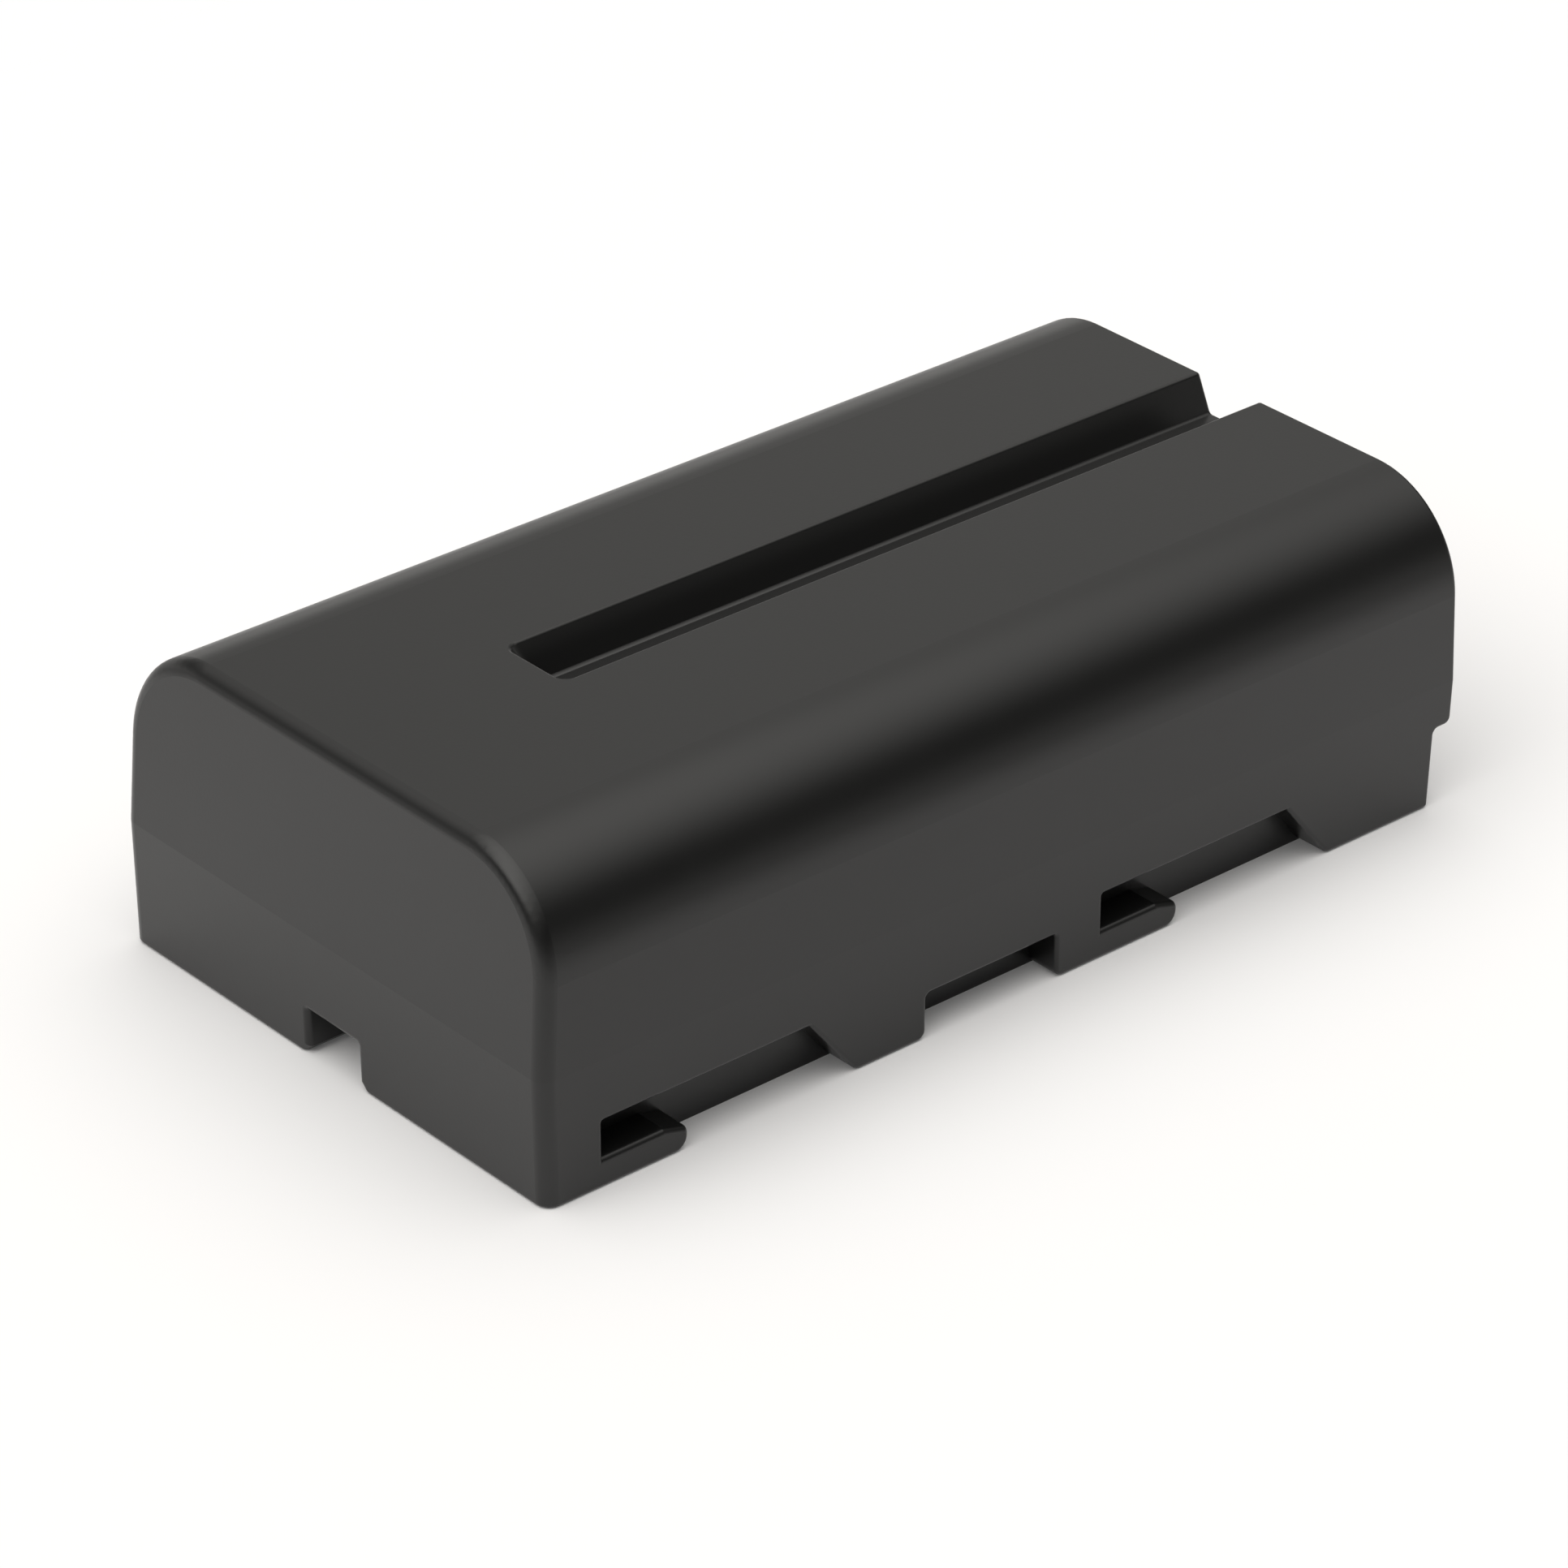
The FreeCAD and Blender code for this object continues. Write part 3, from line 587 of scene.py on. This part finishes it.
@dataclass(frozen=True)
class PaleWall:
    """Low pale wall on one side of the table."""

    side: Axis
    facing: float
    level: float
    edge: float = 0.3
    middle: float = 0.75
    top: float = 0.5
    foot: float = 0.15

    def shine(self, sky: SkyBuilder) -> bpy.types.NodeSocket:
        """Brightness of the wall by direction.

        Args:
            sky: The world's builder.

        Returns:
            The brightness.
        """
        towards = sky.math("MULTIPLY", sky.x if self.side is Axis.X else sky.y, self.facing)
        low = sky.fade(sky.z, self.top, self.foot)
        facing = sky.fade(towards, self.edge, self.middle)
        return sky.math("MULTIPLY", sky.math("MULTIPLY", facing, low), self.level)


@dataclass
class Studio:
    """White table, and a world of soft lights, low walls and dim ground."""

    floor_reach: float = 0.25
    floor_drop: float = 0.00002
    underside_reach: float = 0.0001
    near_fade_start: float = 0.02
    near_fade_end: float = 0.18
    far_fade_start: float = -0.05
    far_fade_end: float = -0.16
    floor_colour: Colour = (0.862, 0.858, 0.868)
    floor_lift: float = 0.05
    floor_roughness: float = 0.9
    lights: tuple[SoftLight, ...] = (
        SoftLight(0.0, 0.1, 2.044),
        SoftLight(0.0, -1.3, 2.452),
        SoftLight(-1.4, 1.3, 0.51),
    )
    walls: tuple[PaleWall, ...] = (PaleWall(Axis.X, -1.0, 0.5), PaleWall(Axis.Y, 1.0, 0.191))
    ground_level: float = 0.403
    ground_top: float = 0.25
    ground_full: float = 0.0
    lights_start: float = -0.02
    lights_full: float = 0.04
    least_height: float = 0.05
    light_tint: Colour = (1.0, 0.985, 0.95)

    def build(self) -> None:
        """Make the floor and the world."""
        self._floor()
        self._world()
        log.info("studio is built")

    def _floor(self) -> None:
        """Lay the white table that keeps the shadow."""
        bpy.ops.object.select_all(action="DESELECT")
        bpy.ops.mesh.primitive_plane_add(size=2 * self.floor_reach, location=(0, 0, -self.floor_drop))
        floor = bpy.context.object
        floor.name = "table"
        build = MaterialBuilder("table_white")
        build.shader.inputs["Base Color"].default_value = rgba(self.floor_colour)
        build.fix(roughness=self.floor_roughness)
        build.shader.inputs["Specular IOR Level"].default_value = 0.0
        build.shader.inputs["Emission Color"].default_value = (1.0, 1.0, 1.0, 1.0)
        path = build.tree.nodes.new("ShaderNodeLightPath")
        seen = build.tree.nodes.new("ShaderNodeMath")
        seen.operation = "MAXIMUM"
        lift = build.tree.nodes.new("ShaderNodeMath")
        lift.operation = "MULTIPLY"
        lift.inputs[1].default_value = self.floor_lift
        build.join(path.outputs["Is Camera Ray"], seen.inputs[0])
        build.join(path.outputs["Is Glossy Ray"], seen.inputs[1])
        build.join(seen.outputs[0], lift.inputs[0])
        build.join(lift.outputs[0], build.shader.inputs["Emission Strength"])
        self._fade(build)
        floor.data.materials.append(build.material)

    def _fade(self, build: MaterialBuilder) -> None:
        """Let the table fade out towards +X and -X, and clear it from below for a look at the underside.

        Args:
            build: Material of the table.
        """
        nodes = build.tree.nodes
        parts = nodes.new("ShaderNodeSeparateXYZ")
        build.join(build.place, parts.inputs[0])
        shares = []
        fades = ((self.near_fade_start, self.near_fade_end), (self.far_fade_start, self.far_fade_end))
        for start, end in fades:
            share = nodes.new("ShaderNodeMapRange")
            share.inputs["From Min"].default_value = start
            share.inputs["From Max"].default_value = end
            build.join(parts.outputs["X"], share.inputs["Value"])
            shares.append(share.outputs["Result"])
        touching = nodes.new("ShaderNodeMath")
        touching.operation = "LESS_THAN"
        touching.inputs[1].default_value = self.underside_reach
        build.join(nodes.new("ShaderNodeLightPath").outputs["Ray Length"], touching.inputs[0])
        shares.append(touching.outputs[0])
        shares.append(nodes.new("ShaderNodeNewGeometry").outputs["Backfacing"])
        gone = shares[0]
        for share in shares[1:]:
            larger = nodes.new("ShaderNodeMath")
            larger.operation = "MAXIMUM"
            build.join(gone, larger.inputs[0])
            build.join(share, larger.inputs[1])
            gone = larger.outputs[0]
        clear = nodes.new("ShaderNodeBsdfTransparent")
        mix = nodes.new("ShaderNodeMixShader")
        build.join(gone, mix.inputs["Fac"])
        build.join(build.shader.outputs["BSDF"], mix.inputs[1])
        build.join(clear.outputs["BSDF"], mix.inputs[2])
        build.join(mix.outputs["Shader"], build.output.inputs["Surface"])

    def _world(self) -> None:
        """Surround the pack with the soft lights, the pale walls and a dim ground."""
        world = bpy.data.worlds.new("soft_dome")
        bpy.context.scene.world = world
        world.use_nodes = True
        sky = SkyBuilder(world.node_tree)
        height = sky.math("MAXIMUM", sky.z, self.least_height)
        across = sky.math("DIVIDE", sky.x, height)
        along = sky.math("DIVIDE", sky.y, height)
        parts = [light.shine(sky, across, along) for light in self.lights]
        parts += [wall.shine(sky) for wall in self.walls]
        risen = sky.fade(sky.z, self.lights_start, self.lights_full)
        above = sky.math("MULTIPLY", sky.total(parts), risen)
        ground = sky.math("MULTIPLY", sky.fade(sky.z, self.ground_top, self.ground_full), self.ground_level)
        sky.light(sky.math("ADD", above, ground), self.light_tint)


@dataclass
class ProductCamera:
    """Long-lens camera above the near corner of the pack."""

    azimuth: float = 48.975
    pitch: float = 29.635
    roll: float = 0.297
    focal_pixels: float = 7917.63
    frame_pixels: float = 1932.0
    sensor_width: float = 36.0
    nearest: float = 0.01
    furthest: float = 20.0
    place: Vector = field(default_factory=lambda: Vector((0.249185, -0.218272, 0.194155)))

    def build(self) -> None:
        """Create the camera and make it the scene's own."""
        turn = math.radians(self.azimuth)
        tilt = math.radians(self.pitch)
        back = Vector((math.sin(turn) * math.cos(tilt), -math.cos(turn) * math.cos(tilt), math.sin(tilt)))
        level = Vector((math.cos(turn), math.sin(turn), 0.0))
        right = Matrix.Rotation(math.radians(self.roll), 3, back) @ level
        up = back.cross(right)
        data = bpy.data.cameras.new("product_camera")
        data.sensor_width = self.sensor_width
        data.sensor_fit = "HORIZONTAL"
        data.lens = self.focal_pixels / self.frame_pixels * data.sensor_width
        data.clip_start = self.nearest
        data.clip_end = self.furthest
        camera = bpy.data.objects.new("product_camera", data)
        camera.matrix_world = Matrix(
            ((right.x, up.x, back.x, self.place.x), (right.y, up.y, back.y, self.place.y),
             (right.z, up.z, back.z, self.place.z), (0, 0, 0, 1))
        )
        bpy.context.scene.collection.objects.link(camera)
        bpy.context.scene.camera = camera
        log.info("camera is placed")


def main() -> None:
    """Dress the pack and build the studio."""
    logging.basicConfig(level=logging.INFO, format="%(name)s: %(message)s")
    bpy.context.scene.view_settings.view_transform = "Standard"
    PackFinishes().dress_nodes()
    Studio().build()
    ProductCamera().build()


if __name__ == "__main__":
    main()
